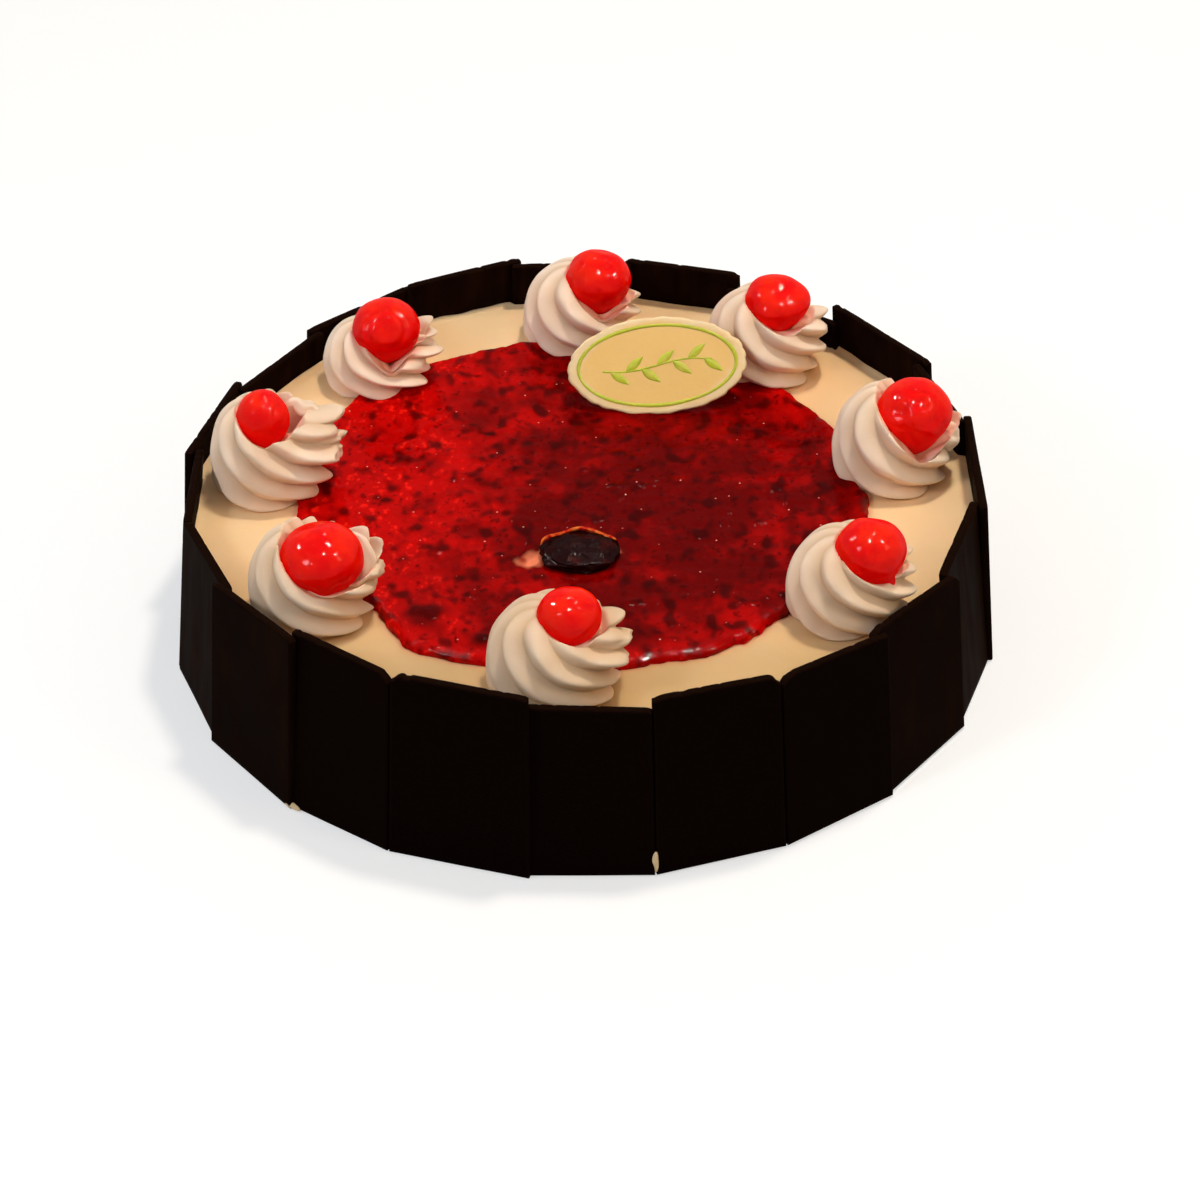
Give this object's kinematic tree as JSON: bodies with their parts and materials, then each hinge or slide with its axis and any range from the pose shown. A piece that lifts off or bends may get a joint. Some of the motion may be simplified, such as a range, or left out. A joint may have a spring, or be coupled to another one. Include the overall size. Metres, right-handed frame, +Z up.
{
  "type": "black forest cake",
  "caption": "Whole round iced cake in a collar of dark chocolate panels, topped with red fruit glaze, piped cream rosettes with candied cherries, and a white chocolate plaque.",
  "frame": {"origin": "middle of the cake's underside", "axes": "+Z up, +Y towards the back, the side with the plaque, +X to the right seen from the front"},
  "size_m": [0.2193, 0.2204, 0.0662],
  "materials": {
    "icing": "smoothed whipped cream icing, satin ivory",
    "piped_cream": "piped whipped cream, satin ivory, faint pink stain at the cherries",
    "dark_chocolate": "tempered dark chocolate, satin sheen, faint streaks and chips",
    "fruit_glaze": "wet translucent red fruit gel with dark pulp",
    "candied_cherry": "wet translucent red candied cherry",
    "dark_cherry": "wet dark stewed cherry",
    "white_chocolate": "white chocolate with a green painted oval ring and leaf sprig"
  },
  "bodies": {
    "root": {"cake": "icing", "panel_01": "dark_chocolate", "panel_02": "dark_chocolate", "panel_03": "dark_chocolate", "panel_04": "dark_chocolate", "panel_05": "dark_chocolate", "panel_06": "dark_chocolate", "panel_07": "dark_chocolate", "panel_08": "dark_chocolate", "panel_09": "dark_chocolate", "panel_10": "dark_chocolate", "panel_11": "dark_chocolate", "panel_12": "dark_chocolate", "panel_13": "dark_chocolate", "panel_14": "dark_chocolate", "panel_15": "dark_chocolate", "panel_16": "dark_chocolate", "panel_17": "dark_chocolate", "panel_18": "dark_chocolate", "panel_19": "dark_chocolate", "panel_20": "dark_chocolate", "glaze": "fruit_glaze", "rosette_back": "piped_cream", "rosette_back_right": "piped_cream", "rosette_right": "piped_cream", "rosette_front_right": "piped_cream", "rosette_front": "piped_cream", "rosette_front_left": "piped_cream", "rosette_left": "piped_cream", "rosette_back_left": "piped_cream", "cherry_back": "candied_cherry", "cherry_back_right": "candied_cherry", "cherry_right": "candied_cherry", "cherry_front_right": "candied_cherry", "cherry_front": "candied_cherry", "cherry_front_left": "candied_cherry", "cherry_left": "candied_cherry", "cherry_back_left": "candied_cherry", "dark_cherry": "dark_cherry", "plaque": "white_chocolate"}
  },
  "joints": []
}
